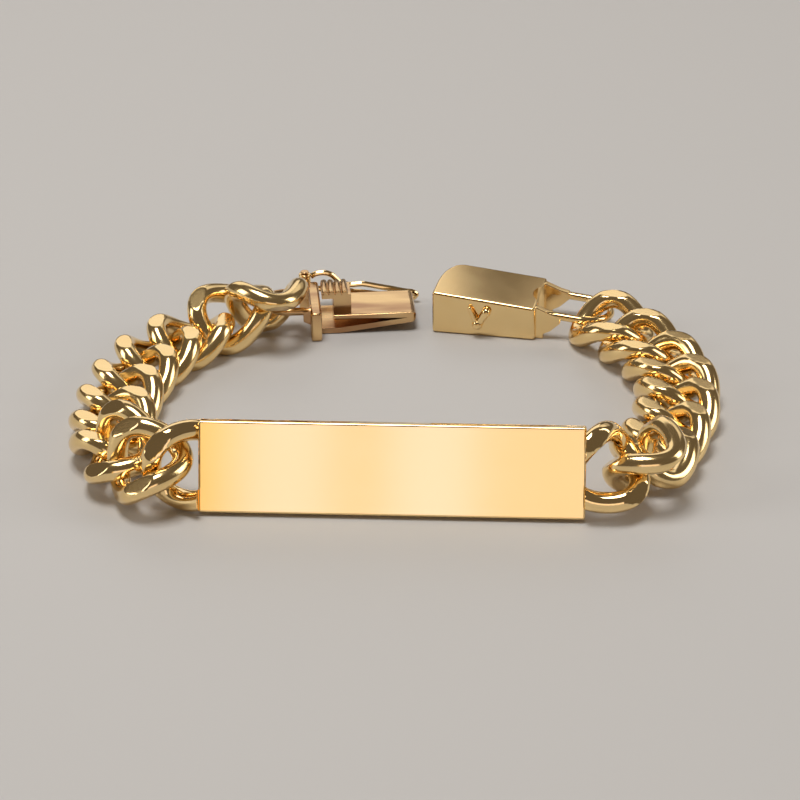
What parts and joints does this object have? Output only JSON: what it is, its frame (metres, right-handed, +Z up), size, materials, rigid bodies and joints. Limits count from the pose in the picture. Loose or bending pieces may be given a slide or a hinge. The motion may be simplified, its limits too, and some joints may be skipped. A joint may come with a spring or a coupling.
{
  "type": "chain bracelet",
  "caption": "Curb-chain bracelet with a plain identity plate and an open box clasp, lying flat.",
  "frame": {"origin": "on the table, under the middle of the bracelet's bounding box", "axes": "+Z up from the table, +Y from the identity plate towards the clasp, +X along the plate to the right"},
  "size_m": [0.0862, 0.0667, 0.0128],
  "materials": {
    "chain_gold": "polished gold plating",
    "plate_gold": "mirror-polished gold plating",
    "clasp_gold": "polished gold plating"
  },
  "bodies": {
    "root": {"plate": "plate_gold", "link_left_01": "chain_gold", "link_left_02": "chain_gold", "link_left_03": "chain_gold", "link_left_04": "chain_gold", "link_left_05": "chain_gold", "link_left_06": "chain_gold", "link_left_07": "chain_gold", "link_left_08": "chain_gold", "link_left_09": "chain_gold", "link_left_10": "chain_gold", "link_right_01": "chain_gold", "link_right_02": "chain_gold", "link_right_03": "chain_gold", "link_right_04": "chain_gold", "link_right_05": "chain_gold", "link_right_06": "chain_gold", "link_right_07": "chain_gold", "link_right_08": "chain_gold", "clasp_tongue": "clasp_gold", "clasp_box": "clasp_gold"},
    "latch": {"safety_latch": "clasp_gold"}
  },
  "joints": [
    {"name": "latch_hinge", "type": "hinge", "parent": "root", "child": "latch", "pos_m": [-0.0129, 0.03197, 0.0039], "axis": [0, 0, 1], "range_deg": [0, 110]}
  ]
}
